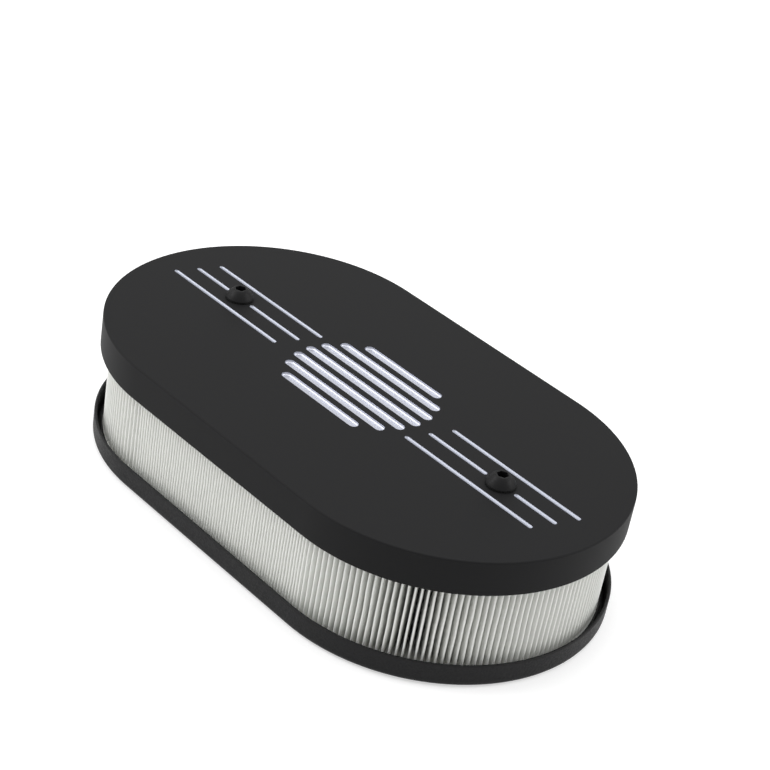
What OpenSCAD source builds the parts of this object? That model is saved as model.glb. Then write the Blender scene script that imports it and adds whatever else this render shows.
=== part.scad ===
// Oval carburetor air cleaner: a drilled tray, a pleated filter element and a machined lid on two posts.
// Origin: middle of the tray's underside. X runs along the oval, Y across it, Z up. Millimetres.

/* [Oval outline] */
// Length of the oval's straight sides, the same on the tray, the filter element and the lid
straight_len = 120; // [104:1:140]
// Width of the tray and the lid
outline_w = 168; // [160:1:180]

/* [Tray] */
// Thickness of the pressed tray's sheet
sheet_t = 1.5; // [1.2:0.1:2]
// Height of the tray, underside to rim
tray_h = 11.5; // [9:0.5:16]
// Inside radius of the bend between floor and wall
bend_r = 1.5; // [1:0.1:1.6]

/* [Carburetor holes] */
// Distance between the two throat centres
throat_spacing = 90; // [84:1:94]
// Diameter of each throat hole
throat_d = 46; // [38:0.5:48]
// Diameter of the stud holes
stud_d = 6.5; // [5:0.1:7]
// Lengthwise offset of a throat's own studs from its centre
stud_dx = 11.8; // [9:0.1:13]
// Crosswise offset of a throat's own studs from its centre
stud_dy = 30.4; // [29.5:0.1:33]
// Distance between the pair of middle studs on the plain side
near_pair_x = 27; // [22:0.5:29]
// Crosswise place of the middle studs on the plain side
near_pair_y = 28.7; // [27:0.1:31]
// Distance between the pair of middle studs on the other side
far_pair_x = 24; // [20:0.5:26]
// Crosswise place of the middle studs on the other side
far_pair_y = 20.5; // [19.5:0.1:23]
// Diameter of the two vent holes between the throats
vent_d = 12; // [8:0.5:12]
// Distance between the two vent holes
vent_spacing = 22.4; // [18:0.2:25]

/* [Posts] */
// Distance from a post's centre to the end of the filter element's opening
post_inset = 22.5; // [16:0.5:34]
// Diameter of a post
post_d = 9.6; // [8.5:0.1:12]
// Diameter of the turned spigot that is swaged into the tray's floor
spigot_d = 6.4; // [5:0.1:7]
// Depth of the tapped bore from the post's mouth
bore_depth = 22; // [18:1:40]
// Size of the lead-in at the bore's mouth
bore_lead = 0.6; // [0.2:0.1:0.8]

/* [Filter element] */
// Height of the filter element over both caps
filter_h = 50.8; // [40:0.1:70]
// Thickness of a moulded end cap
cap_t = 3.2; // [2.8:0.1:5]
// Width of a cap, from its outer edge to the edge of the opening
cap_w = 26.5; // [25:0.5:32]
// Width of the slope that leads into the opening
cap_slope_w = 4.3; // [2:0.1:5]
// Depth of the two moulded channels in a cap
channel_depth = 1.5; // [0.6:0.1:1.9]
// How far a cap stands out past the pleats
cap_overhang = 1.2; // [0.5:0.1:2.5]
// Pitch of the pleats along the outside
pleat_pitch = 3.35; // [3:0.05:5]
// Width of a fold's flat, at the middle of the paper
fold_w = 0.7; // [0.6:0.05:1]
// Thickness of the pleated paper
paper_t = 0.45; // [0.3:0.05:0.55]
// Thickness of the adhesive bed that closes the pleats at each end
bed_t = 0.6; // [0.4:0.1:1.5]

/* [Lid] */
// Overall height of the lid
lid_h = 17; // [15:0.5:24]
// Thickness of the lid above its pocket
plate_t = 5; // [3.5:0.1:7]
// Wall of the lid beside the filter element
skirt_t = 3; // [2.5:0.1:5]
// How far the lid reaches down over the filter element
seat_depth = 4; // [3.5:0.1:6]
// Width of the land that presses on the filter element
seat_w = 21; // [18:0.5:23]
// Radius of the lid's top and bottom outer edges
edge_r = 0.8; // [0.4:0.1:1.5]

/* [Milled decoration] */
// Radius of the ball cutter that milled the grooves
ball_r = 1.25; // [1:0.05:1.6]
// Depth of the grooves
groove_depth = 0.75; // [0.4:0.05:0.9]
// Distance between the rows of grooves
groove_pitch = 11.6; // [9:0.1:13]
// Length of a whole groove
groove_len = 77; // [60:1:80]
// Distance from the start of the middle groove to the screw's centre
groove_lead = 44.5; // [38:0.5:50]
// Shift of each row against the next
groove_stagger = 3.3; // [0:0.1:5]
// Distance between the screw's centre and the middle groove's broken ends
groove_break = 9.8; // [9.5:0.1:12]
// Number of flutes in the middle panel
flute_count = 7; // [3:2:7]
// Width of a flute
flute_w = 5; // [3:0.5:6]
// Distance between two flutes
flute_pitch = 8.6; // [7:0.1:9]
// Distance between the middle flute's end and the start of the middle groove
flute_gap = 8; // [5:0.5:15]
// Depth of the flutes
flute_depth = 1.3; // [0.6:0.1:2]

/* [Lid screws] */
// Diameter of the screw's shank
screw_d = 6.3; // [5:0.1:7.5]
// Radius of the screw's button head at its seat
flange_r = 7; // [6:0.1:8]
// Straight height of the head's edge, below the dome
flange_t = 0.7; // [0.4:0.1:1.5]
// Overall height of the head
head_h = 4.6; // [4.1:0.1:6]
// Radius of the flat at the top of the head
head_flat_r = 3.4; // [3.2:0.05:4]
// Radius of the rounding of the head's flank
dome_r = 14; // [8:0.5:30]
// Width of the hexagon socket across its flats
hex_af = 4.8; // [4:0.1:5]
// Depth of the hexagon socket
hex_depth = 3.2; // [2:0.1:3.6]
// Length of the shank inside the post
grip_len = 16; // [10:0.5:17]
// Thickness of the sealing washer under the flange
washer_t = 0.6; // [0.4:0.1:1.5]

/* [Clearances] */
// Gap between the filter element's cap and the lid's wall
filter_clear = 0.5; // [0.3:0.1:1]
// Gap between a post's mouth and the lid's pocket
post_clear = 0.3; // [0.3:0.1:1]
// Radial gap between the screw and the post's bore
thread_clear = 0.05; // [0.02:0.01:0.1]
// Radial gap between the screw and the lid's hole
hole_clear = 0.3; // [0.3:0.05:0.6]
// Radial gap left round the swaged spigot
swage_clear = 0.02; // [0.01:0.01:0.05]

/* [Hidden] */
$fn = 96;

// The oval is a straight stretch with round ends: every piece shares half_straight and has its own radius
outline_r = outline_w / 2;
half_straight = straight_len / 2;
filter_r = outline_r - skirt_t - filter_clear;
opening_r = filter_r - cap_w;
pocket_r = filter_r + filter_clear - seat_w;
post_x = half_straight + opening_r - post_inset;
groove_start = post_x - groove_lead;
flute_len = 2 * (groove_start - flute_gap);

// Heights of the seats, from the tray's underside
floor_z = sheet_t;
filter_top_z = floor_z + filter_h;
lid_bottom_z = filter_top_z - seat_depth;
lid_top_z = lid_bottom_z + lid_h;
pocket_z = lid_top_z - plate_t;
post_top_z = pocket_z - post_clear;
washer_top_z = lid_top_z + washer_t;

// Lands and channels of a moulded cap, as distances in from its outer edge and drops below its face
cap_edge = 0.5;
channel_1 = 4.9;
channel_2 = 15.8;
channel_w = 2.4;
channel_wall = 0.4;
channel_floor = 0.8;
middle_drop = 0.5;
inner_drop = 0.3;
cap_lip_t = 1.1;

// The pleats: tips of the folds outside and inside, and the number that fits the outside
media_out_r = filter_r - cap_overhang;
media_in_r = opening_r + cap_overhang;
media_h = filter_h - 2 * cap_t;
media_len = 4 * half_straight + 2 * PI * media_out_r;
pleat_count = round(media_len / pleat_pitch);
pitch = media_len / pleat_count;

// How far a cut runs past the face it opens, the screw's and the post's turned edges, and the washer's step
hole_past = 1;
tip_chamfer = 0.6;
post_chamfer = 0.3;
washer_inset = 0.2;
// How far the adhesive stands out past the folds
bed_past = 0.2;
// Centre of the head's rounded flank, which runs from the top of its straight edge to the edge of its flat
flank_w = flange_r - head_flat_r;
flank_h = head_h - flange_t;
flank = sqrt(pow(flank_w, 2) + pow(flank_h, 2));
flank_back = sqrt(pow(dome_r, 2) - pow(flank / 2, 2));
dome_x = (flange_r + head_flat_r) / 2 - flank_back * flank_h / flank;
dome_z = (flange_t + head_h) / 2 - flank_back * flank_w / flank;
// Edge radius that stands for a sharp corner
sharp = 0.01;

// A flat oval of the given radius
module oval(r) {
    square([2 * half_straight, 2 * r], center = true);
    for (side = [-1, 1]) translate([side * half_straight, 0]) circle(r = r);
}

// Sweeps a profile, drawn as distance from the middle line and height, once round the oval
module oval_sweep() {
    for (side = [-1, 1]) {
        translate([side * half_straight, 0, 0])
            rotate([0, 0, -90 * side]) rotate_extrude(angle = 180) children();
        mirror([0, side < 0 ? 1 : 0, 0])
            translate([-half_straight, 0, 0])
                rotate([90, 0, 90]) linear_extrude(2 * half_straight) children();
    }
}

// Half section of a block with rounded outer edges, from the middle line to radius r
module rounded_half(r, h, low_r, high_r) {
    translate([0, low_r]) square([r, h - low_r - high_r]);
    square([r - max(low_r, high_r), h]);
    translate([r - low_r, low_r]) circle(r = low_r);
    translate([r - high_r, h - high_r]) circle(r = high_r);
    if (low_r < high_r) translate([r - high_r, 0]) square([high_r - low_r, low_r]);
    if (high_r < low_r) translate([r - low_r, h - high_r]) square([low_r - high_r, high_r]);
}

// A plain round hole down through the tray's floor
module floor_hole(x, y, d) {
    translate([x, y, -hole_past]) cylinder(d = d, h = floor_z + 2 * hole_past);
}

// Pressed sheet tray with its wall turned up and a rounded rim
module base_tray() {
    color("#1c1c1d") difference() {
        oval_sweep() difference() {
            union() {
                rounded_half(outline_r, tray_h - sheet_t / 2, bend_r + sheet_t, sharp);
                translate([outline_r - sheet_t / 2, tray_h - sheet_t / 2]) circle(d = sheet_t);
            }
            translate([0, floor_z]) rounded_half(outline_r - sheet_t, tray_h, bend_r, sharp);
        }
        for (side = [-1, 1]) {
            floor_hole(side * throat_spacing / 2, 0, throat_d);
            floor_hole(side * (throat_spacing / 2 - stud_dx), -stud_dy, stud_d);
            floor_hole(side * (throat_spacing / 2 + stud_dx), stud_dy, stud_d);
            floor_hole(side * near_pair_x / 2, -near_pair_y, stud_d);
            floor_hole(side * far_pair_x / 2, far_pair_y, stud_d);
            floor_hole(side * vent_spacing / 2, 0, vent_d);
            floor_hole(side * post_x, 0, spigot_d + 2 * swage_clear);
        }
    }
}

// Turned post with a tapped bore at its mouth and a spigot swaged flush with the tray's underside
module post(x) {
    bore_r = screw_d / 2 + thread_clear;
    color("#5c5c5e") translate([x, 0, 0]) difference() {
        union() {
            cylinder(d = spigot_d, h = floor_z + hole_past);
            translate([0, 0, floor_z]) cylinder(d = post_d, h = post_top_z - floor_z - post_chamfer);
            translate([0, 0, post_top_z - post_chamfer])
                cylinder(d1 = post_d, d2 = post_d - 2 * post_chamfer, h = post_chamfer);
        }
        translate([0, 0, post_top_z - bore_depth]) cylinder(r = bore_r, h = bore_depth + hole_past);
        translate([0, 0, post_top_z - bore_lead])
            cylinder(r1 = bore_r, r2 = bore_r + bore_lead, h = bore_lead);
    }
}

// Section of a moulded cap: flat against the pleats, with lands and channels on its outer face
module cap_section() {
    function r_at(inset) = filter_r - inset;
    polygon([
        [opening_r, 0],
        [r_at(0), 0],
        [r_at(0), cap_t - cap_edge],
        [r_at(cap_edge), cap_t],
        [r_at(channel_1), cap_t],
        [r_at(channel_1 + channel_wall), cap_t - channel_depth],
        [r_at(channel_1 + channel_wall + channel_floor), cap_t - channel_depth],
        [r_at(channel_1 + channel_w), cap_t - middle_drop],
        [r_at(channel_2), cap_t - middle_drop],
        [r_at(channel_2 + channel_wall), cap_t - channel_depth],
        [r_at(channel_2 + channel_wall + channel_floor), cap_t - channel_depth],
        [r_at(channel_2 + channel_w), cap_t - inner_drop],
        [opening_r + cap_slope_w, cap_t - inner_drop],
        [opening_r, cap_lip_t]
    ]);
}

module filter_top_cap() {
    color("#2c2c2c") translate([0, 0, filter_top_z - cap_t]) oval_sweep() cap_section();
}

module filter_bottom_cap() {
    color("#2c2c2c") translate([0, 0, floor_z + cap_t]) mirror([0, 0, 1]) oval_sweep() cap_section();
}

// A point at distance s along the pleats' outside, counter-clockwise, and at radius r from the middle line
function oval_point(s, r) =
    let (straight = 2 * half_straight, bend = PI * media_out_r, u = (s + media_len) % media_len)
    u < straight ? [half_straight - u, r] :
    u < straight + bend ? round_point(-1, 90 + 180 * (u - straight) / bend, r) :
    u < 2 * straight + bend ? [u - straight - bend - half_straight, -r] :
    round_point(1, 180 * (u - 2 * straight - bend) / bend - 90, r);
function round_point(side, angle, r) = [side * half_straight + r * cos(angle), r * sin(angle)];

// One face of the folded paper: flats at the tips and the roots of every pleat
function folded_face(tip_r, root_r, tip_half, root_half) = [
    for (i = [0 : pleat_count - 1])
        each [
            oval_point(i * pitch - tip_half, tip_r),
            oval_point(i * pitch + tip_half, tip_r),
            oval_point((i + 0.5) * pitch - root_half, root_r),
            oval_point((i + 0.5) * pitch + root_half, root_r)
        ]
];

// Pleated filter paper, folded once round the oval.
// At each end a thin bed of white adhesive closes the folds and bonds them to the cap.
module pleated_media() {
    wide = (fold_w + paper_t) / 2;
    narrow = (fold_w - paper_t) / 2;
    color("#dcded8") translate([0, 0, floor_z + cap_t]) {
        linear_extrude(media_h) difference() {
            polygon(folded_face(media_out_r, media_in_r + paper_t, wide, narrow));
            polygon(folded_face(media_out_r - paper_t, media_in_r, narrow, wide));
        }
        for (z = [0, media_h - bed_t]) translate([0, 0, z]) linear_extrude(bed_t) difference() {
            oval(media_out_r + bed_past);
            oval(media_in_r - bed_past);
        }
    }
}

// A groove milled by a ball cutter, from x1 to x2 between the centres of its round ends
module groove(x1, x2, y) {
    translate([0, y, lid_top_z - groove_depth + ball_r]) {
        translate([x1, 0, 0]) rotate([0, 90, 0]) cylinder(r = ball_r, h = x2 - x1);
        for (x = [x1, x2]) translate([x, 0, 0]) sphere(r = ball_r);
    }
}

// Three staggered grooves beside one screw; the middle one stops short of the screw on both sides
module groove_group() {
    for (row = [-1, 1]) {
        start = groove_start + row * groove_stagger;
        groove(start, start + groove_len, row * groove_pitch);
    }
    groove(groove_start, post_x - groove_break, 0);
    groove(post_x + groove_break, groove_start + groove_len, 0);
}

// A flat flute with round ends
module flute(len, y) {
    translate([0, y, lid_top_z - flute_depth]) linear_extrude(flute_depth + hole_past) {
        square([len - flute_w, flute_w], center = true);
        for (side = [-1, 1]) translate([side * (len - flute_w) / 2, 0]) circle(d = flute_w);
    }
}

// Panel of parallel flutes whose ends follow an ellipse
module flute_panel() {
    half_panel = (flute_count + 1) * flute_pitch / 2;
    for (i = [0 : flute_count - 1]) {
        y = (i - (flute_count - 1) / 2) * flute_pitch;
        flute(flute_len * sqrt(1 - pow(y / half_panel, 2)), y);
    }
}

// Lid milled from thick plate: a pocket underneath, a seat for the filter element, grooves on top
module lid() {
    color("#2e2e2f") difference() {
        translate([0, 0, lid_bottom_z]) oval_sweep() rounded_half(outline_r, lid_h, edge_r, edge_r);
        translate([0, 0, lid_bottom_z - hole_past])
            linear_extrude(seat_depth + hole_past) oval(filter_r + filter_clear);
        translate([0, 0, lid_bottom_z]) linear_extrude(pocket_z - lid_bottom_z) oval(pocket_r);
        for (side = [-1, 1]) translate([side * post_x, 0, pocket_z - hole_past])
            cylinder(r = screw_d / 2 + hole_clear, h = plate_t + 2 * hole_past);
        groove_group();
        rotate([0, 0, 180]) groove_group();
        flute_panel();
    }
}

module seal_washer(x) {
    color("#141414") translate([x, 0, lid_top_z]) difference() {
        cylinder(r = flange_r - washer_inset, h = washer_t);
        translate([0, 0, -hole_past]) cylinder(r = screw_d / 2 + hole_clear, h = washer_t + 2 * hole_past);
    }
}

// Button-head screw with a hexagon socket and a plain shank
module lid_screw(x) {
    shank_len = washer_top_z - post_top_z + grip_len;
    color("#18181a") translate([x, 0, washer_top_z]) difference() {
        union() {
            rotate_extrude() intersection() {
                square([flange_r, head_h]);
                translate([dome_x, dome_z]) circle(r = dome_r);
            }
            translate([0, 0, -shank_len + tip_chamfer]) cylinder(d = screw_d, h = shank_len);
            translate([0, 0, -shank_len])
                cylinder(d1 = screw_d - 2 * tip_chamfer, d2 = screw_d, h = tip_chamfer);
        }
        translate([0, 0, head_h - hex_depth])
            cylinder(d = hex_af / cos(30), h = hex_depth + hole_past, $fn = 6);
    }
}

base_tray();
post(post_x);  // post_front
post(-post_x);  // post_rear
filter_bottom_cap();
pleated_media();
filter_top_cap();
lid();
seal_washer(post_x);  // seal_washer_front
seal_washer(-post_x);  // seal_washer_rear
lid_screw(post_x);  // lid_screw_front
lid_screw(-post_x);  // lid_screw_rear
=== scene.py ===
import math
import bmesh
import bpy
from mathutils import Matrix, Quaternion, Vector, noise


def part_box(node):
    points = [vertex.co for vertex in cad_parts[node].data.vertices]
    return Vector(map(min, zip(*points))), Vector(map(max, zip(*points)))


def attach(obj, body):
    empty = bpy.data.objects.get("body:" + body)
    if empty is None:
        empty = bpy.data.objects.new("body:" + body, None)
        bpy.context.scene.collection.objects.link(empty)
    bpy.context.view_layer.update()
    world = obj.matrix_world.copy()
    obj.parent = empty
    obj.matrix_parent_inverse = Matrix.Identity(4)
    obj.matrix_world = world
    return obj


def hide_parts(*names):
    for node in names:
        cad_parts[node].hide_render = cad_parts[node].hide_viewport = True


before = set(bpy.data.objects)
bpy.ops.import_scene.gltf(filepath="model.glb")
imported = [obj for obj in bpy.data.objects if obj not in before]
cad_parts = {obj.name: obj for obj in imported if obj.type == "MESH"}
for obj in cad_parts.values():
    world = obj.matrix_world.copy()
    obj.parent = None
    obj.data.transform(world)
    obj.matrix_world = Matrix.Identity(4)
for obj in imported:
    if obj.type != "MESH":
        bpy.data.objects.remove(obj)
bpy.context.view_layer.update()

mm = 0.001


# Camera
# It looks down on the right-hand end of the oval and leans over a little, as the photograph's does.
# It stands far enough back to hold the whole stack when the filter element and the lid are lifted off.
target = Vector((-1.25, 16.7, 60)) * mm
azimuth = math.radians(42.75)
elevation = math.radians(30.07)
lean = math.radians(10.39)
distance = 874 * mm
sideways = Vector((math.sin(azimuth), -math.cos(azimuth), 0)) * math.cos(elevation)
towards_camera = sideways + Vector((0, 0, math.sin(elevation)))
camera = bpy.data.objects.new("camera", bpy.data.cameras.new("camera"))
camera.data.sensor_width = 36
camera.data.lens = 87.4
camera.location = target + distance * towards_camera
camera.rotation_mode = "QUATERNION"
camera.rotation_quaternion = (-towards_camera).to_track_quat("-Z", "Y") @ Quaternion((0, 0, 1), lean)
bpy.context.scene.collection.objects.link(camera)
bpy.context.scene.camera = camera
bpy.context.scene.view_settings.view_transform = "Standard"


# Studio floor and light
# A matt white floor under soft boxes on both sides and overhead, in a white room.
# The floor and the walls look a little lighter to the eye than the light they throw on the object.
floor_radius = 4
floor_gap = 0.1 * mm
floor_glow = 0.48
room_light = 0.7
room_glow = 0.3


def linear(hex_colour):
    """An sRGB hex colour as Blender's linear colour."""
    channels = [int(hex_colour[i:i + 2], 16) / 255 for i in (1, 3, 5)]
    return [c / 12.92 if c <= 0.04045 else ((c + 0.055) / 1.055) ** 2.4 for c in channels] + [1]


def add_node(owner, kind, settings=None, links=None):
    """Adds a node to a material or world. A setting is one of the node's own or a socket's value."""
    node = owner.node_tree.nodes.new(kind)
    for name, value in (settings or {}).items():
        if isinstance(name, str) and name in node.bl_rna.properties:
            setattr(node, name, value)
        else:
            node.inputs[name].default_value = value
    for name, source in (links or {}).items():
        owner.node_tree.links.new(source, node.inputs[name])
    return node


def join(owner, source, target_socket):
    """Links a node's output to a socket of the material's or the world's own shader."""
    owner.node_tree.links.new(source, target_socket)


def new_material(name, colour, roughness, metallic=0.0, specular=0.5):
    """A material with its plain values set on the shader's own sockets."""
    material = bpy.data.materials.new(name)
    material.use_nodes = True
    shader = material.node_tree.nodes["Principled BSDF"]
    shader.inputs["Base Color"].default_value = linear(colour)
    shader.inputs["Roughness"].default_value = roughness
    shader.inputs["Metallic"].default_value = metallic
    shader.inputs["Specular IOR Level"].default_value = specular
    return material, shader


def seen_strength(owner, unseen, lift):
    """A strength that is lifted where the surface is seen, straight or in a mirror."""
    ray = add_node(owner, "ShaderNodeLightPath")
    mirrored = add_node(owner, "ShaderNodeMath", {"operation": "MAXIMUM"}, {
        0: ray.outputs["Is Glossy Ray"], 1: ray.outputs["Is Transmission Ray"]})
    seen = add_node(owner, "ShaderNodeMath", {"operation": "MAXIMUM"}, {
        0: ray.outputs["Is Camera Ray"], 1: mirrored.outputs[0]})
    return add_node(owner, "ShaderNodeMath", {"operation": "MULTIPLY_ADD", 1: lift, 2: unseen}, {
        0: seen.outputs[0]}).outputs[0]


def as_object(name, shape, material):
    """Turns a finished bmesh into an object of the scene, all of one material."""
    mesh = bpy.data.meshes.new(name)
    mesh.materials.append(material)
    shape.to_mesh(mesh)
    shape.free()
    piece = bpy.data.objects.new(name, mesh)
    bpy.context.scene.collection.objects.link(piece)
    return piece


def soft_box(name, place, side, watts):
    """A square soft box at a place given in metres from the object, turned towards it."""
    lamp = bpy.data.lights.new(name, "AREA")
    lamp.shape = "SQUARE"
    lamp.size = side
    lamp.energy = watts
    box = bpy.data.objects.new(name, lamp)
    box.location = place
    box.rotation_euler = (Vector(place) - target).to_track_quat("Z", "Y").to_euler()
    bpy.context.scene.collection.objects.link(box)


# Matt white emulsion. The floor lies a hair below the tray, so that the two never share a plane.
paint, floor_shader = new_material("matt_white_floor", "#d0d0d0", 0.9, specular=0.2)
floor_shader.inputs["Emission Color"].default_value = linear("#ffffff")
join(paint, seen_strength(paint, 0, floor_glow), floor_shader.inputs["Emission Strength"])
floor_shape = bmesh.new()
bmesh.ops.create_circle(floor_shape, cap_ends=True, segments=96, radius=floor_radius)
bmesh.ops.translate(floor_shape, verts=floor_shape.verts, vec=(0, 0, -floor_gap))
floor = as_object("floor", floor_shape, paint)

room = bpy.data.worlds.new("white_room")
room.use_nodes = True
room_shader = room.node_tree.nodes["Background"]
room_shader.inputs["Color"].default_value = linear("#ffffff")
join(room, seen_strength(room, room_light, room_glow), room_shader.inputs["Strength"])
bpy.context.scene.world = room

soft_box("left_box", place=(-1.05, -0.9, 1.15), side=1.0, watts=15)
soft_box("right_box", place=(1.0, 1.1, 1.05), side=0.8, watts=9)
soft_box("top_box", place=(-0.2, 0.2, 1.9), side=1.4, watts=12)


# Base tray
# A shallow tray pressed from steel sheet, with its wall turned up and its rim rounded.
# Its floor is punched for the two throats, their studs, two vents and the two posts.
# The whole pressing is powder coated black.
sheet_t = 1.5 * mm
bend_r = 1.5 * mm
rim_round = 0.45 * sheet_t
tray_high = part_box("base_tray")[1]
outline_r = tray_high.y
half_straight = tray_high.x - outline_r
wall_in = outline_r - sheet_t

throat_x = 45 * mm
throat_d = 46 * mm
stud_d = 6.5 * mm
stud_dx = 11.8 * mm
stud_dy = 30.4 * mm
near_pair = (13.5 * mm, -28.7 * mm)
far_pair = (12 * mm, 20.5 * mm)
vent_x = 11.2 * mm
vent_d = 12 * mm
post_x = (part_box("post_front")[0].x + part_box("post_front")[1].x) / 2
spigot_d = 6.4 * mm
swage_clear = 0.02 * mm

bend_steps = 64
plate_start = 20 * mm
merge_gap = 0.001 * mm
found_within = 0.01 * mm
drill_len = 300 * mm


def swept_oval(corners, closed=False):
    """Sweeps corners, given as distance from the middle line and height, once round the oval.

    A plate's outline is left open: it starts and ends at plate_start, and one flat face fills each side.
    """
    shape = bmesh.new()
    ring = [shape.verts.new((half_straight, -r, z)) for r, z in corners]
    pairs = list(zip(ring, ring[1:])) + ([(ring[-1], ring[0])] if closed else [])
    edges = [shape.edges.new(pair) for pair in pairs]
    for side in (1, -1):
        bend = bmesh.ops.spin(
            shape, geom=edges, cent=(side * half_straight, 0, 0), axis=(0, 0, 1), angle=math.pi,
            steps=bend_steps, use_merge=False, use_duplicate=False)
        last = [e for e in bend["geom_last"] if isinstance(e, bmesh.types.BMEdge)]
        straight_run = bmesh.ops.extrude_edge_only(shape, edges=last)["geom"]
        moved = [v for v in straight_run if isinstance(v, bmesh.types.BMVert)]
        bmesh.ops.translate(shape, verts=moved, vec=(-2 * side * half_straight, 0, 0))
        run_edges = [e for e in straight_run if isinstance(e, bmesh.types.BMEdge)]
        edges = [e for e in run_edges if set(e.verts) <= set(moved)]
    bmesh.ops.remove_doubles(shape, verts=shape.verts, dist=merge_gap)
    if not closed:
        open_edges = [e for e in shape.edges if e.is_boundary]
        bmesh.ops.holes_fill(shape, edges=open_edges, sides=0)
    bmesh.ops.recalc_face_normals(shape, faces=shape.faces)
    return shape


def round_corner(shape, r, z, radius, segments):
    """Rounds the edge that runs round the oval at distance r from the middle line and at height z."""

    def is_there(vert):
        beside = Vector((max(abs(vert.co.x) - half_straight, 0), vert.co.y)).length
        return abs(beside - r) < found_within and abs(vert.co.z - z) < found_within

    edges = [e for e in shape.edges if is_there(e.verts[0]) and is_there(e.verts[1])]
    bmesh.ops.bevel(
        shape, geom=edges, offset=radius, offset_type="OFFSET", segments=segments, profile=0.5,
        affect="EDGES", material=-1, clamp_overlap=True)


def cut_away(piece, cutter):
    """Cuts the cutter's volume out of a piece; the new faces take the cutter's material."""
    cut = piece.modifiers.new("cut", "BOOLEAN")
    cut.object = cutter
    cut.solver = "EXACT"
    cut.material_mode = "TRANSFER"
    bpy.context.view_layer.update()
    cut_piece = piece.evaluated_get(bpy.context.evaluated_depsgraph_get())
    mesh = bpy.data.meshes.new_from_object(cut_piece)
    piece.modifiers.clear()
    piece.data = mesh
    bpy.data.objects.remove(cutter)


def drill(cutter, x, y, diameter):
    """Adds a drill to a cutter, long enough to go through the whole object."""
    bmesh.ops.create_cone(
        cutter, cap_ends=True, segments=64, radius1=diameter / 2, radius2=diameter / 2, depth=drill_len,
        matrix=Matrix.Translation((x, y, 0)))


def finish(piece, node, body, edge=0):
    """Breaks a piece's edges, shades it smooth, and puts it in the place of its solid."""
    for polygon in piece.data.polygons:
        polygon.use_smooth = True
    if edge:
        bevel = piece.modifiers.new("edges", "BEVEL")
        bevel.width = edge
        bevel.segments = 2
        bevel.limit_method = "ANGLE"
        bevel.angle_limit = math.radians(28)
        bevel.use_clamp_overlap = True
        bevel.miter_outer = "MITER_ARC"
    weights = piece.modifiers.new("flats", "WEIGHTED_NORMAL")
    weights.keep_sharp = True
    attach(piece, body)
    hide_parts(node)


# Powder coat: a baked polyester film over steel, between matt and satin, whose fine orange peel
# breaks up every highlight. The peel is about 0.3 mm across on the real thing and is drawn at
# 0.9 mm, the smallest that shows.
peel_size = 0.9 * mm
powder, powder_shader = new_material("powder_coat_black", "#131314", 0.5, specular=0.2)
powder_place = add_node(powder, "ShaderNodeTexCoord")
peel = add_node(powder, "ShaderNodeTexNoise", {
    "Scale": 1 / peel_size, "Detail": 3.0, "Roughness": 0.6}, {"Vector": powder_place.outputs["Object"]})
peel_bump = add_node(powder, "ShaderNodeBump", {"Strength": 0.8, "Distance": 0.2 * mm}, {
    "Height": peel.outputs["Fac"]})
join(powder, peel_bump.outputs["Normal"], powder_shader.inputs["Normal"])
peel_rough = add_node(powder, "ShaderNodeMapRange", {
    "From Min": 0.35, "From Max": 0.65, "To Min": 0.45, "To Max": 0.65}, {"Value": peel.outputs["Fac"]})
join(powder, peel_rough.outputs[0], powder_shader.inputs["Roughness"])

tray_shape = swept_oval([
    (plate_start, 0), (outline_r, 0), (outline_r, tray_high.z), (wall_in, tray_high.z),
    (wall_in, sheet_t), (plate_start, sheet_t)])
round_corner(tray_shape, outline_r, 0, bend_r + sheet_t, segments=8)
round_corner(tray_shape, wall_in, sheet_t, bend_r, segments=6)
round_corner(tray_shape, outline_r, tray_high.z, rim_round, segments=4)
round_corner(tray_shape, wall_in, tray_high.z, rim_round, segments=4)
base_tray = as_object("pressed_base_tray", tray_shape, powder)

punches = bmesh.new()
for side in (-1, 1):
    drill(punches, side * throat_x, 0, throat_d)
    drill(punches, side * (throat_x - stud_dx), -stud_dy, stud_d)
    drill(punches, side * (throat_x + stud_dx), stud_dy, stud_d)
    drill(punches, side * near_pair[0], near_pair[1], stud_d)
    drill(punches, side * far_pair[0], far_pair[1], stud_d)
    drill(punches, side * vent_x, 0, vent_d)
    drill(punches, side * post_x, 0, spigot_d + 2 * swage_clear)
cut_away(base_tray, as_object("punches", punches, powder))
finish(base_tray, "base_tray", "base", edge=0.12 * mm)


# Posts
# Two steel posts turned from bar, each with a tapped bore at the top for the lid's screw.
# A spigot at the foot is swaged flush through the tray's floor, so each post is part of the tray.
post_d = 9.6 * mm
post_chamfer = 0.3 * mm
post_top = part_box("post_front")[1].z
screw_r = 3.15 * mm
thread_clear = 0.05 * mm
bore_r = screw_r + thread_clear
bore_depth = 22 * mm
bore_lead = 0.6 * mm
thread_pitch = 1.27 * mm
thread_rows = 6
tap_depth = 0.45 * mm
tap_low = post_top - bore_depth + thread_pitch
tap_high = post_top - bore_lead


def lathe(x, corners):
    """Turns corners, given as distance from the axis and height, once round an upright axis at x."""
    shape = bmesh.new()
    ring = [shape.verts.new((x + r, 0, z)) for r, z in corners]
    edges = [shape.edges.new(pair) for pair in zip(ring, ring[1:])]
    bmesh.ops.spin(
        shape, geom=edges, cent=(x, 0, 0), axis=(0, 0, 1), angle=2 * math.pi, steps=64, use_merge=True,
        use_duplicate=False)
    bmesh.ops.remove_doubles(shape, verts=shape.verts, dist=merge_gap)
    bmesh.ops.recalc_face_normals(shape, faces=shape.faces)
    return shape


def thread_heights(low, high):
    """Heights of the rows of points that a thread between two heights needs."""
    count = round((high - low) / thread_pitch * thread_rows)
    return [low + (high - low) * i / count for i in range(count + 1)]


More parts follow.
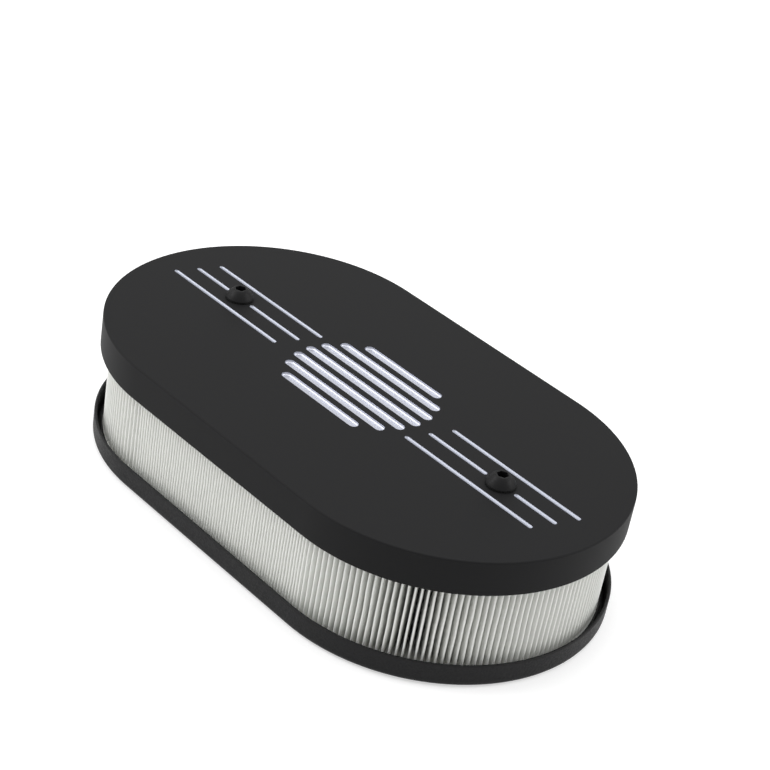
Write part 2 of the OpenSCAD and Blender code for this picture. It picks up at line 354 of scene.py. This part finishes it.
def cut_thread(shape, x, radius, low, high, depth):
    """Moves a plain wall's points out by the thread's depth, along a helix that fades at its ends.

    A negative depth cuts the thread into a shank.
    """
    for vert in shape.verts:
        out = Vector((vert.co.x - x, vert.co.y, 0))
        if abs(out.length - radius) > found_within or not low < vert.co.z < high:
            continue
        turn = math.atan2(out.y, out.x) / (2 * math.pi)
        wave = abs(2 * (((vert.co.z - low) / thread_pitch - turn) % 1) - 1)
        fade = min(1, (vert.co.z - low) / thread_pitch, (high - vert.co.z) / thread_pitch)
        vert.co += out.normalized() * depth * wave * fade


# Turned steel under a thin dark oxide: it mirrors the light in long soft streaks, uneven in small
# patches, with faint rings from the tool. The tool's feed is about 0.1 mm a turn on the real thing
# and is drawn at 0.5 mm. A noise stretched fifty times sideways lies in level rings.
level_rings = (0.02, 0.02, 1)
feed_drawn = 0.5 * mm
oxide_patch = 1.5 * mm
turned, turned_shader = new_material("turned_dark_steel", "#9a9a9d", 0.3, metallic=0.9)
turned_place = add_node(turned, "ShaderNodeTexCoord")
around_post = add_node(turned, "ShaderNodeMapping", {"Scale": level_rings}, {
    "Vector": turned_place.outputs["Object"]})
rings = add_node(turned, "ShaderNodeTexNoise", {"Scale": 1 / feed_drawn, "Detail": 2.0}, {
    "Vector": around_post.outputs["Vector"]})
ring_bump = add_node(turned, "ShaderNodeBump", {"Strength": 0.5, "Distance": 0.02 * mm}, {
    "Height": rings.outputs["Fac"]})
join(turned, ring_bump.outputs["Normal"], turned_shader.inputs["Normal"])
patches = add_node(turned, "ShaderNodeTexNoise", {"Scale": 1 / oxide_patch, "Detail": 2.0}, {
    "Vector": turned_place.outputs["Object"]})
patch_rough = add_node(turned, "ShaderNodeMapRange", {
    "From Min": 0.3, "From Max": 0.7, "To Min": 0.28, "To Max": 0.35}, {"Value": patches.outputs["Fac"]})
join(turned, patch_rough.outputs[0], turned_shader.inputs["Roughness"])

for node, side in (("post_front", 1), ("post_rear", -1)):
    bore_wall = [(bore_r, z) for z in thread_heights(tap_low, tap_high)]
    post_shape = lathe(side * post_x, [
        (0, 0), (spigot_d / 2, 0), (spigot_d / 2, sheet_t), (post_d / 2, sheet_t),
        (post_d / 2, post_top - post_chamfer), (post_d / 2 - post_chamfer, post_top),
        (bore_r + bore_lead, post_top), *reversed(bore_wall), (bore_r, post_top - bore_depth),
        (0, post_top - bore_depth)])
    cut_thread(post_shape, side * post_x, bore_r, tap_low, tap_high, tap_depth)
    post = as_object(f"turned_{node}", post_shape, turned)
    finish(post, node, "base")


# Filter element's end caps
# Two polyurethane rings cast round the pleats' ends; they hold the paper and seal on tray and lid.
# The outer face of each has three flat lands and two channels, and slopes down into the opening.
bottom_low, bottom_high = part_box("filter_bottom_cap")
top_low, top_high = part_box("filter_top_cap")
cap_r = top_high.y
cap_w = 26.5 * mm
opening_r = cap_r - cap_w
cap_edge = 0.7 * mm
channel_1 = 4.9 * mm
channel_2 = 15.8 * mm
channel_w = 2.4 * mm
channel_wall = 0.4 * mm
channel_floor = 0.8 * mm
channel_depth = 1.5 * mm
middle_drop = 0.5 * mm
inner_drop = 0.3 * mm
cap_slope_w = 4.3 * mm
cap_lip_t = 1.1 * mm
mould_fillet = 0.22 * mm
sharp_angle = math.radians(12)

# Cast polyurethane: a dense matt rubber, black all through, a little glossier and duller by turns
# where it has been handled, in areas some 25 mm wide. The mould's fine blasted grain is drawn at 0.8 mm.
mould_grain = 0.8 * mm
handled_size = 25 * mm
urethane, urethane_shader = new_material("cast_polyurethane", "#181819", 0.5, specular=0.2)
urethane_place = add_node(urethane, "ShaderNodeTexCoord")
mould = add_node(urethane, "ShaderNodeTexNoise", {"Scale": 1 / mould_grain, "Detail": 2.0}, {
    "Vector": urethane_place.outputs["Object"]})
mould_bump = add_node(urethane, "ShaderNodeBump", {"Strength": 0.35, "Distance": 0.03 * mm}, {
    "Height": mould.outputs["Fac"]})
join(urethane, mould_bump.outputs["Normal"], urethane_shader.inputs["Normal"])
handled = add_node(urethane, "ShaderNodeTexNoise", {"Scale": 1 / handled_size, "Detail": 3.0}, {
    "Vector": urethane_place.outputs["Object"]})
handled_rough = add_node(urethane, "ShaderNodeMapRange", {
    "From Min": 0.3, "From Max": 0.7, "To Min": 0.42, "To Max": 0.56}, {"Value": handled.outputs["Fac"]})
join(urethane, handled_rough.outputs[0], urethane_shader.inputs["Roughness"])


def cast_cap(node, flat_z, face_z):
    """A cap between its flat face on the pleats and its moulded outer face."""
    up = 1 if face_z > flat_z else -1

    def at(inset, drop):
        return (cap_r - inset, face_z - up * drop)

    def channel(inset, next_drop):
        wall_foot = inset + channel_wall
        return [
            at(wall_foot, channel_depth), at(wall_foot + channel_floor, channel_depth),
            at(inset + channel_w, next_drop)]

    shape = swept_oval([
        (opening_r, flat_z), (cap_r, flat_z), at(0, cap_edge), at(cap_edge, 0),
        at(channel_1, 0), *channel(channel_1, middle_drop),
        at(channel_2, middle_drop), *channel(channel_2, inner_drop),
        at(cap_w - cap_slope_w, inner_drop), (opening_r, flat_z + up * cap_lip_t)], closed=True)
    joined_edges = [e for e in shape.edges if len(e.link_faces) == 2]
    long_edges = [e for e in joined_edges if e.calc_face_angle() > sharp_angle]
    bmesh.ops.bevel(
        shape, geom=long_edges, offset=mould_fillet, offset_type="OFFSET", segments=3, profile=0.5,
        affect="EDGES", material=-1, clamp_overlap=True)
    cap = as_object(f"cast_{node}", shape, urethane)
    finish(cap, node, "filter")


cast_cap("filter_bottom_cap", bottom_high.z, bottom_low.z)
cast_cap("filter_top_cap", top_low.z, top_high.z)


# Pleated media
# One band of off-white filter paper, folded into about 300 deep pleats round the oval.
# The pleats stand close along the straight sides and fan out round the two bends, and both ends are
# set in the caps in a thin bed of hot-melt adhesive.
media_low, media_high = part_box("pleated_media")
paper_t = 0.4 * mm
bed_t = 0.6 * mm
bed_past = 0.2 * mm
fold_r = 0.26 * mm
fold_angles = [math.radians(degrees) for degrees in (-75, -38, 0, 38, 75)]
root_inset = 1.2 * mm
media_r = media_high.y - bed_past
crest = media_r - paper_t / 2
root = opening_r + root_inset + paper_t / 2
straight = 2 * half_straight
bend = math.pi * media_r
media_len = 2 * (straight + bend)
straight_pitch = 1.82 * mm
bend_pitch = 2.85 * mm
flank_share = 0.2
media_rows = 10
wander = 0.3 * mm
wander_across = 5 * mm
wander_up = 12 * mm


def oval_point(along, out):
    """The point at a distance along the outside of the pleats, and at a distance from the middle line."""
    along %= media_len
    if along < straight:
        return Vector((half_straight - along, out))
    if along < straight + bend:
        angle = math.pi / 2 + (along - straight) / media_r
        return Vector((out * math.cos(angle) - half_straight, out * math.sin(angle)))
    if along < 2 * straight + bend:
        return Vector((along - straight - bend - half_straight, -out))
    angle = (along - 2 * straight - bend) / media_r - math.pi / 2
    return Vector((out * math.cos(angle) + half_straight, out * math.sin(angle)))


def rounded_fold(place, tip, inwards, widen):
    """Points of one rounded fold, each as a distance along the outside and one from the middle line.

    Round a bend the roots lie closer than the outside does, so widen keeps their folds as round.
    """
    return [
        (place + widen * fold_r * math.sin(a), tip + inwards * fold_r * (1 - math.cos(a)))
        for a in fold_angles]


# The pleats' places along the outside: as many in each stretch as its pitch gives, evenly spaced.
pleats = []
start = 0
for length, pitch, widen in ((straight, straight_pitch, 1), (bend, bend_pitch, media_r / root)) * 2:
    count = round(length / pitch)
    pleats += [(start + (i + 0.5) * length / count, widen) for i in range(count)]
    start += length

# The band in plan: from each crest down a flank to the root, and up the next flank.
band = []
for i, (crest_place, widen) in enumerate(pleats):
    next_place = pleats[i + 1][0] if i + 1 < len(pleats) else pleats[0][0] + media_len
    crest_fold = rounded_fold(crest_place, crest, -1, 1)
    root_fold = rounded_fold((crest_place + next_place) / 2, root, 1, widen)
    next_fold = rounded_fold(next_place, crest, -1, 1)
    down = Vector(crest_fold[-1]).lerp(Vector(root_fold[0]), flank_share)
    up = Vector(root_fold[-1]).lerp(Vector(next_fold[0]), 1 - flank_share)
    band += [*crest_fold, down, *root_fold, up]

media_shape = bmesh.new()
loop = []
for along, out in band:
    xy = oval_point(along, out)
    loop.append(media_shape.verts.new((xy.x, xy.y, media_low.z)))
edges = [media_shape.edges.new(pair) for pair in zip(loop, loop[1:] + loop[:1])]
row_height = (media_high.z - media_low.z) / media_rows
for row in range(media_rows):
    grown = bmesh.ops.extrude_edge_only(media_shape, edges=edges)["geom"]
    moved = [v for v in grown if isinstance(v, bmesh.types.BMVert)]
    bmesh.ops.translate(media_shape, verts=moved, vec=(0, 0, row_height))
    grown_edges = [e for e in grown if isinstance(e, bmesh.types.BMEdge)]
    edges = [e for e in grown_edges if set(e.verts) <= set(moved)]
bmesh.ops.recalc_face_normals(media_shape, faces=media_shape.faces)

# The folds are crisp, and no two stand quite alike: each wanders a little on its way up.
for vert in media_shape.verts:
    spine = Vector((max(-half_straight, min(half_straight, vert.co.x)), 0, vert.co.z))
    beside = (vert.co - spine).normalized().cross(Vector((0, 0, 1)))
    height = (vert.co.z - media_low.z) / (media_high.z - media_low.z)
    loose = math.sin(math.pi * height) ** 0.5 if 0 < height < 1 else 0
    spot = Vector((vert.co.x / wander_across, vert.co.y / wander_across, vert.co.z / wander_up))
    vert.co += beside * noise.noise(spot) * wander * loose

# Filter paper: resin-stiffened cellulose, off-white and quite matt, with a soft felt of fibres.
# A fibre is about 0.03 mm thick, so the felt is drawn at 0.7 mm.
felt_size = 0.7 * mm
paper, paper_shader = new_material("filter_paper", "#f4f5f1", 0.85, specular=0.2)
paper_place = add_node(paper, "ShaderNodeTexCoord")
felt = add_node(paper, "ShaderNodeTexNoise", {"Scale": 1 / felt_size, "Detail": 3.0}, {
    "Vector": paper_place.outputs["Object"]})
felt_bump = add_node(paper, "ShaderNodeBump", {"Strength": 0.4, "Distance": 0.05 * mm}, {
    "Height": felt.outputs["Fac"]})
join(paper, felt_bump.outputs["Normal"], paper_shader.inputs["Normal"])

media = as_object("pleated_filter_paper", media_shape, paper)
wall = media.modifiers.new("paper", "SOLIDIFY")
wall.thickness = paper_t
wall.offset = 0
finish(media, "pleated_media", "filter")

# Hot-melt adhesive: a milky, waxy bed with a low sheen, poured nearly flat; the pour's slow waves
# are about 2 mm wide.
pour_size = 2 * mm
adhesive, adhesive_shader = new_material("hot_melt_adhesive", "#f2f2ee", 0.55, specular=0.3)
adhesive_place = add_node(adhesive, "ShaderNodeTexCoord")
pour = add_node(adhesive, "ShaderNodeTexNoise", {"Scale": 1 / pour_size, "Detail": 2.0}, {
    "Vector": adhesive_place.outputs["Object"]})
pour_bump = add_node(adhesive, "ShaderNodeBump", {"Strength": 0.4, "Distance": 0.1 * mm}, {
    "Height": pour.outputs["Fac"]})
join(adhesive, pour_bump.outputs["Normal"], adhesive_shader.inputs["Normal"])

bed_in = opening_r + root_inset - bed_past
bed_out = media_high.y
for end, low_z in (("bottom", media_low.z), ("top", media_high.z - bed_t)):
    bed_shape = swept_oval([
        (bed_in, low_z), (bed_out, low_z), (bed_out, low_z + bed_t), (bed_in, low_z + bed_t)],
        closed=True)
    bed = as_object(f"adhesive_bed_{end}", bed_shape, adhesive)
    finish(bed, "pleated_media", "filter", edge=0.15 * mm)


# Lid
# Milled from one thick plate of aluminium, with a pocket underneath and a seat that drops over the
# filter element. It was anodised black; then the grooves and flutes were milled through the black,
# down to bright metal.
lid_low, lid_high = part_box("lid")
skirt_t = 3 * mm
seat_w = 21 * mm
plate_t = 5 * mm
edge_r = 0.8 * mm
skirt_in = outline_r - skirt_t
seat_z = top_high.z
pocket_r = skirt_in - seat_w
pocket_z = lid_high.z - plate_t
hole_clear = 0.3 * mm

ball_r = 1.25 * mm
groove_depth = 0.75 * mm
groove_pitch = 11.6 * mm
groove_len = 77 * mm
groove_start = post_x - 44.5 * mm
groove_stagger = 3.3 * mm
groove_break = 9.8 * mm
ball_z = lid_high.z - groove_depth + ball_r

flute_count = 7
flute_w = 5 * mm
flute_pitch = 8.6 * mm
flute_gap = 8 * mm
flute_len = 2 * (groove_start - flute_gap)
flute_depth = 1.3 * mm
mill_corner = 0.9 * mm
mill_len = 4 * mm
mill_facets = 32


def ball_path(cutter, x1, x2, y):
    """Adds the path of a ball cutter between two places: a round bar with ball ends.

    The ball has no ring of points at its middle, so it parts into two halves.
    """
    ball = bmesh.ops.create_uvsphere(
        cutter, u_segments=24, v_segments=15, radius=ball_r,
        matrix=Matrix.Rotation(math.pi / 2, 4, "Y"))["verts"]
    for vert in ball:
        vert.co += Vector((x2 if vert.co.x > 0 else x1, y, ball_z))


def mill_path(cutter, half_len, y):
    """Adds the path of an end mill with rounded corners: a bar with round ends and a flat floor.

    Turned by half a facet, the mill has no points at its middle, so it parts into two halves.
    """
    floor_z = lid_high.z - flute_depth
    path = bmesh.ops.create_cone(
        cutter, cap_ends=True, segments=mill_facets, radius1=flute_w / 2, radius2=flute_w / 2,
        depth=mill_len, matrix=Matrix.Rotation(math.pi / mill_facets, 4, "Z"))["verts"]
    for vert in path:
        vert.co += Vector((half_len if vert.co.x > 0 else -half_len, y, floor_z + mill_len / 2))
    on_floor = {v for v in path if abs(v.co.z - floor_z) < found_within}
    rim = {e for v in on_floor for e in v.link_edges if set(e.verts) <= on_floor}
    bmesh.ops.bevel(
        cutter, geom=list(rim), offset=mill_corner, offset_type="OFFSET", segments=4, profile=0.5,
        affect="EDGES", material=-1, clamp_overlap=True)


# Anodised aluminium, dyed black and sealed: a hard matt skin that greys where it catches the light
# at a low angle. The blasting under it leaves a grain of about 0.1 mm, drawn at 0.7 mm.
blast_grain = 0.7 * mm
anodised, anodised_shader = new_material("anodised_aluminium_black", "#0f0f10", 0.62, specular=0.15)
anodised_place = add_node(anodised, "ShaderNodeTexCoord")
blast = add_node(anodised, "ShaderNodeTexNoise", {"Scale": 1 / blast_grain, "Detail": 2.0}, {
    "Vector": anodised_place.outputs["Object"]})
blast_bump = add_node(anodised, "ShaderNodeBump", {"Strength": 0.25, "Distance": 0.02 * mm}, {
    "Height": blast.outputs["Fac"]})
join(anodised, blast_bump.outputs["Normal"], anodised_shader.inputs["Normal"])

# Bare milled aluminium: bright and slightly cool, with the cutter's scallops across its path. They
# are about 0.2 mm apart on the real thing and are drawn at 1.2 mm; a wave texture of scale 1 has
# 20 bands in 2 pi metres.
scallop_pitch = 1.2 * mm
band_scale = 2 * math.pi / (20 * scallop_pitch)


def milled_aluminium(name, colour, roughness):
    """One of the two copies of bare milled aluminium; they differ in roughness and in a colour darkened
    as painted shade or lightened as painted light.
    """
    milled, milled_shader = new_material(name, colour, roughness, metallic=1.0)
    milled_place = add_node(milled, "ShaderNodeTexCoord")
    scallops = add_node(milled, "ShaderNodeTexWave", {
        "wave_type": "BANDS", "bands_direction": "X", "Scale": band_scale, "Distortion": 1.0,
        "Detail": 2.0}, {"Vector": milled_place.outputs["Object"]})
    scallop_bump = add_node(milled, "ShaderNodeBump", {"Strength": 0.3, "Distance": 0.02 * mm}, {
        "Height": scallops.outputs["Fac"]})
    join(milled, scallop_bump.outputs["Normal"], milled_shader.inputs["Normal"])
    return milled


# Grooves and flutes are the same milled aluminium: the grooves' colour is darkened as painted shade, the
# flutes' lightened as painted light.
groove_aluminium_painted_darker = milled_aluminium("groove_aluminium_painted_shade", "#989ba5", 0.5)
flute_aluminium_painted_lighter = milled_aluminium("flute_aluminium_painted_light", "#babcc5", 0.45)

lid_shape = swept_oval([
    (plate_start, lid_high.z), (outline_r, lid_high.z), (outline_r, lid_low.z), (skirt_in, lid_low.z),
    (skirt_in, seat_z), (pocket_r, seat_z), (pocket_r, pocket_z), (plate_start, pocket_z)])
round_corner(lid_shape, outline_r, lid_high.z, edge_r, segments=5)
round_corner(lid_shape, outline_r, lid_low.z, edge_r, segments=5)
round_corner(lid_shape, pocket_r, pocket_z, edge_r, segments=4)
lid = as_object("milled_lid", lid_shape, anodised)

screw_drills = bmesh.new()
for side in (-1, 1):
    drill(screw_drills, side * post_x, 0, 2 * (screw_r + hole_clear))
cut_away(lid, as_object("screw_drills", screw_drills, anodised))

# Three grooves run past each screw, turned half round at the other end; the middle one breaks there.
ball_cutters = bmesh.new()
groove_end = groove_start + groove_len
for side in (-1, 1):
    for x1, x2, y in (
            (groove_start - groove_stagger, groove_end - groove_stagger, -groove_pitch),
            (groove_start + groove_stagger, groove_end + groove_stagger, groove_pitch),
            (groove_start, post_x - groove_break, 0),
            (post_x + groove_break, groove_end, 0)):
        ends = sorted((side * x1, side * x2))
        ball_path(ball_cutters, ends[0], ends[1], side * y)
# The grooves take the milled aluminium whose colour is darkened as painted shade.
cut_away(lid, as_object("ball_cutters", ball_cutters, groove_aluminium_painted_darker))

# The flutes shorten towards the sides, so that their ends follow a circle.
end_mills = bmesh.new()
for i in range(flute_count):
    y = (i - (flute_count - 1) / 2) * flute_pitch
    length = flute_len * math.sqrt(1 - (2 * y / ((flute_count + 1) * flute_pitch)) ** 2)
    mill_path(end_mills, (length - flute_w) / 2, y)
# The flutes take the milled aluminium whose colour is lightened as painted light.
cut_away(lid, as_object("end_mills", end_mills, flute_aluminium_painted_lighter))
finish(lid, "lid", "lid", edge=0.1 * mm)


# Sealing washers and screws
# Each screw draws the lid down on the filter element through a thin rubber washer that keeps dust out
# of its hole. The screw is blackened steel, with a flared flange, a hexagon socket and a thread at the
# foot of its shank.
flange_r = 7 * mm
flange_t = 0.4 * mm
flange_round = 0.3 * mm
flange_mid = 0.3 * flange_round
head_h = 4.6 * mm
head_flat_r = 3.4 * mm
dome_r = 14 * mm
dome_steps = 12
hex_af = 4.8 * mm
hex_r = hex_af / 2 / math.cos(math.radians(30))
hex_depth = 3.2 * mm
tip_chamfer = 0.6 * mm
thread_len = 16 * mm
thread_depth = 0.5 * mm

# The flange's lower edge is rounded by way of one point in the middle of its round. The head's flank
# is an arc of the dome's radius, from the flange's edge to the flat at the top.
flank = Vector((flange_r - head_flat_r, head_h - flange_t))
flank_back = math.sqrt(dome_r ** 2 - (flank.length / 2) ** 2)
dome_x = (flange_r + head_flat_r) / 2 - flank_back * flank.y / flank.length
dome_z = (flange_t + head_h) / 2 - flank_back * flank.x / flank.length
dome_heights = [flange_t + flank.y * i / dome_steps for i in range(dome_steps + 1)]
dome = [(dome_x + math.sqrt(dome_r ** 2 - (h - dome_z) ** 2), h) for h in dome_heights]

# Nitrile rubber, die cut from sheet: dull and near black. Its skin's fine grain is drawn at 0.4 mm.
skin_grain = 0.4 * mm
rubber, rubber_shader = new_material("nitrile_rubber", "#101010", 0.7, specular=0.25)
rubber_place = add_node(rubber, "ShaderNodeTexCoord")
skin = add_node(rubber, "ShaderNodeTexNoise", {"Scale": 1 / skin_grain, "Detail": 2.0}, {
    "Vector": rubber_place.outputs["Object"]})
skin_bump = add_node(rubber, "ShaderNodeBump", {"Strength": 0.4, "Distance": 0.03 * mm}, {
    "Height": skin.outputs["Fac"]})
join(rubber, skin_bump.outputs["Normal"], rubber_shader.inputs["Normal"])

# Black oxide on turned steel: a dull, oily black in soft patches about 1.2 mm wide, with rings from
# the tool. The rings are about 0.1 mm apart on the real thing and are drawn at 0.4 mm.
bloom_size = 1.2 * mm
head_feed_drawn = 0.4 * mm
oxide, oxide_shader = new_material("black_oxide_steel", "#0d0d0e", 0.5, specular=0.16)
oxide_place = add_node(oxide, "ShaderNodeTexCoord")
bloom = add_node(oxide, "ShaderNodeTexNoise", {"Scale": 1 / bloom_size, "Detail": 3.0}, {
    "Vector": oxide_place.outputs["Object"]})
bloom_rough = add_node(oxide, "ShaderNodeMapRange", {
    "From Min": 0.3, "From Max": 0.7, "To Min": 0.42, "To Max": 0.56}, {"Value": bloom.outputs["Fac"]})
join(oxide, bloom_rough.outputs[0], oxide_shader.inputs["Roughness"])
around_screw = add_node(oxide, "ShaderNodeMapping", {"Scale": level_rings}, {
    "Vector": oxide_place.outputs["Object"]})
head_rings = add_node(oxide, "ShaderNodeTexNoise", {"Scale": 1 / head_feed_drawn, "Detail": 2.0}, {
    "Vector": around_screw.outputs["Vector"]})
head_bump = add_node(oxide, "ShaderNodeBump", {"Strength": 0.5, "Distance": 0.03 * mm}, {
    "Height": head_rings.outputs["Fac"]})
join(oxide, head_bump.outputs["Normal"], oxide_shader.inputs["Normal"])

for end, side in (("front", 1), ("rear", -1)):
    x = side * post_x
    washer_low, washer_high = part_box(f"seal_washer_{end}")
    hole_r = screw_r + hole_clear
    washer_r = washer_high.x - x
    washer_shape = lathe(x, [
        (hole_r, washer_low.z), (washer_r, washer_low.z), (washer_r, washer_high.z),
        (hole_r, washer_high.z), (hole_r, washer_low.z)])
    washer = as_object(f"rubber_washer_{end}", washer_shape, rubber)
    finish(washer, f"seal_washer_{end}", "lid", edge=0.15 * mm)

    head_z = washer_high.z
    screw_low, screw_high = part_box(f"lid_screw_{end}")
    thread_low = screw_low.z + tip_chamfer
    thread_high = screw_low.z + thread_len
    screw_shape = lathe(x, [
        (0, screw_low.z), (screw_r - tip_chamfer, screw_low.z),
        *[(screw_r, z) for z in thread_heights(thread_low, thread_high)],
        (screw_r, head_z), (flange_r - flange_round, head_z),
        (flange_r - flange_mid, head_z + flange_mid), (flange_r, head_z + flange_round),
        *[(r, head_z + h) for r, h in dome],
        (0, screw_high.z)])
    cut_thread(screw_shape, x, screw_r, thread_low, thread_high, -thread_depth)
    screw = as_object(f"black_lid_screw_{end}", screw_shape, oxide)
    socket = bmesh.new()
    bmesh.ops.create_cone(
        socket, cap_ends=True, segments=6, radius1=hex_r, radius2=hex_r, depth=2 * hex_depth,
        matrix=Matrix.Translation((x, 0, screw_high.z)))
    cut_away(screw, as_object("socket", socket, oxide))
    finish(screw, f"lid_screw_{end}", f"screw_{end}", edge=0.12 * mm)
